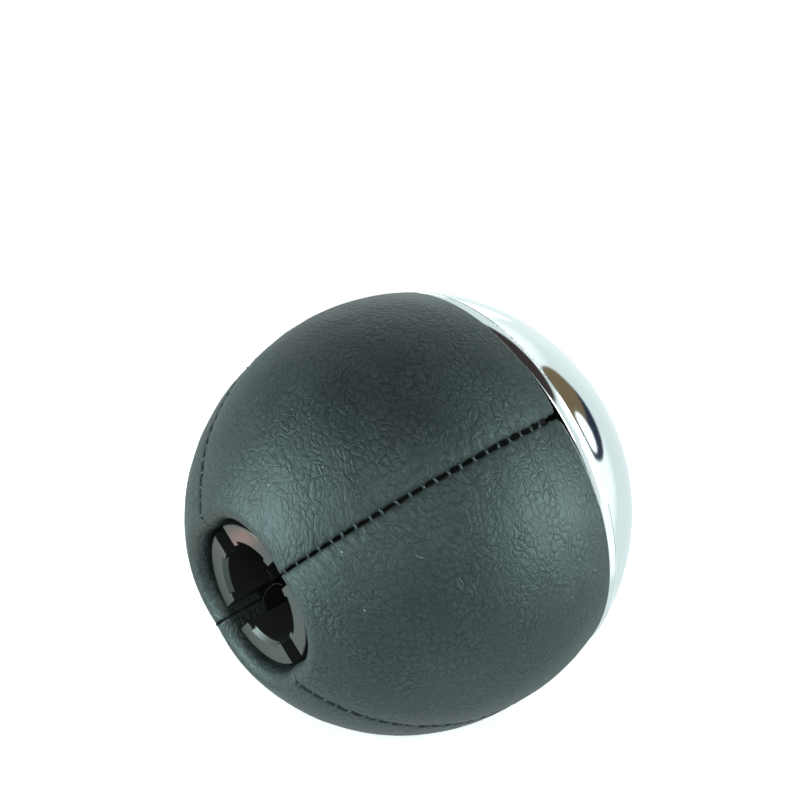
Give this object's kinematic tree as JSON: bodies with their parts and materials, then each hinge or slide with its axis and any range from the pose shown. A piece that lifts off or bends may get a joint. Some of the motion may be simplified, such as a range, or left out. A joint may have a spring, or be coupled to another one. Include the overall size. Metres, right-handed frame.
{
  "type": "gear shift knob",
  "caption": "Ball gear shift knob with stitched leather panels, a mirror chrome cap and a split collet that grips the gear lever.",
  "frame": {"origin": "middle of the leather rim round the open mouth, at its lowest level, which the knob stands on", "axes": "+Z along the lever's axis from the mouth to the top of the chrome cap, -Y towards the seam that faces the camera in the picture"},
  "size_m": [0.0506, 0.0506, 0.0496],
  "materials": {
    "leather": "black grained leather with a soft sheen",
    "thread": "black sewing thread",
    "chrome": "mirror chrome plate",
    "collet_plastic": "dark grey moulded plastic, slightly glossy",
    "core_plastic": "black moulded plastic",
    "spring_steel": "spring wire"
  },
  "bodies": {
    "root": {"leather_panel_front_left": "leather", "leather_panel_front_right": "leather", "leather_panel_back_left": "leather", "leather_panel_back_right": "leather", "seam_thread_front": "thread", "seam_thread_right": "thread", "seam_thread_back": "thread", "seam_thread_left": "thread", "chrome_cap": "chrome", "lever_collet": "collet_plastic", "collet_spring": "spring_steel", "core": "core_plastic"}
  },
  "joints": []
}
